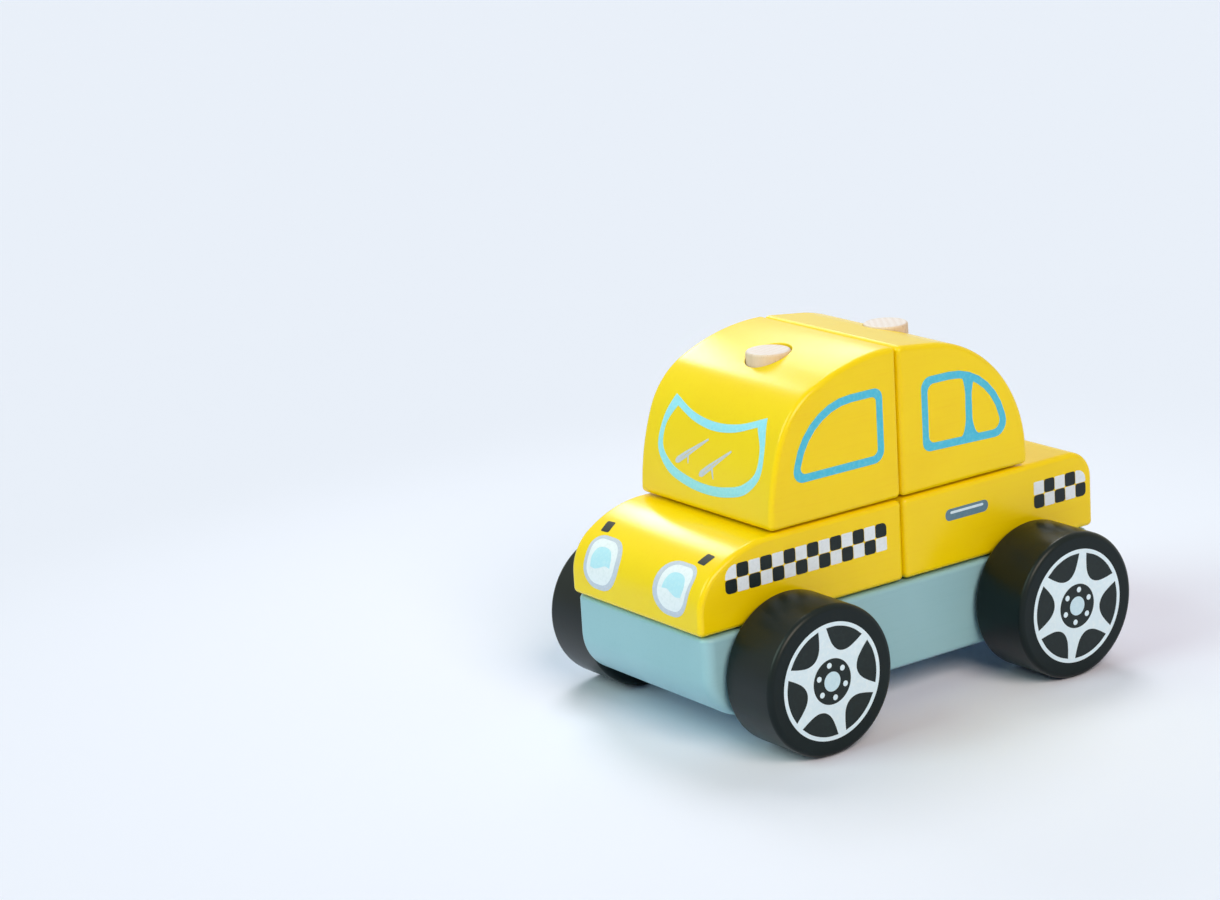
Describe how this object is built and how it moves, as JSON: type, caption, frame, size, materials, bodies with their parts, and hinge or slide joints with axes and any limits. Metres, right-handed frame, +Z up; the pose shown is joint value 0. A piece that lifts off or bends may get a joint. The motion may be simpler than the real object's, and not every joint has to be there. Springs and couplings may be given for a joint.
{
  "type": "toy taxi",
  "caption": "Stacking toy taxi in painted wood: body blocks lift off upright pegs on a chassis that rolls on wooden wheels and axles.",
  "frame": {"origin": "on the floor, under the middle of the toy's length and width", "axes": "+Z up, the front of the car faces -Y, the car's left side faces +X"},
  "size_m": [0.096, 0.135, 0.0955],
  "materials": {
    "yellow_paint": "yellow toy paint on wood, satin",
    "blue_grey_paint": "blue-grey toy paint on wood, satin",
    "black_paint": "black toy paint on wood, satin, with a printed rim",
    "beech": "bare sanded beech dowel"
  },
  "bodies": {
    "chassis": {"chassis": "blue_grey_paint", "front_peg": "beech", "rear_peg": "beech"},
    "hood": {"hood_block": "yellow_paint"},
    "front_cabin": {"front_cabin_block": "yellow_paint"},
    "trunk": {"trunk_block": "yellow_paint"},
    "rear_cabin": {"rear_cabin_block": "yellow_paint"},
    "front_wheels": {"front_axle": "beech", "front_left_wheel": "black_paint", "front_right_wheel": "black_paint"},
    "rear_wheels": {"rear_axle": "beech", "rear_left_wheel": "black_paint", "rear_right_wheel": "black_paint"}
  },
  "joints": [
    {"name": "hood_lift", "type": "slide", "parent": "chassis", "child": "hood", "axis": [0, 0, 1], "range_m": [0, 0.065]},
    {"name": "front_cabin_lift", "type": "slide", "parent": "hood", "child": "front_cabin", "axis": [0, 0, 1], "range_m": [0, 0.045]},
    {"name": "trunk_lift", "type": "slide", "parent": "chassis", "child": "trunk", "axis": [0, 0, 1], "range_m": [0, 0.065]},
    {"name": "rear_cabin_lift", "type": "slide", "parent": "trunk", "child": "rear_cabin", "axis": [0, 0, 1], "range_m": [0, 0.045]},
    {"name": "front_axle_spin", "type": "hinge", "parent": "chassis", "child": "front_wheels", "pos_m": [0, -0.042, 0.02], "axis": [1, 0, 0], "continuous": true},
    {"name": "rear_axle_spin", "type": "hinge", "parent": "chassis", "child": "rear_wheels", "pos_m": [0, 0.042, 0.02], "axis": [1, 0, 0], "continuous": true}
  ]
}
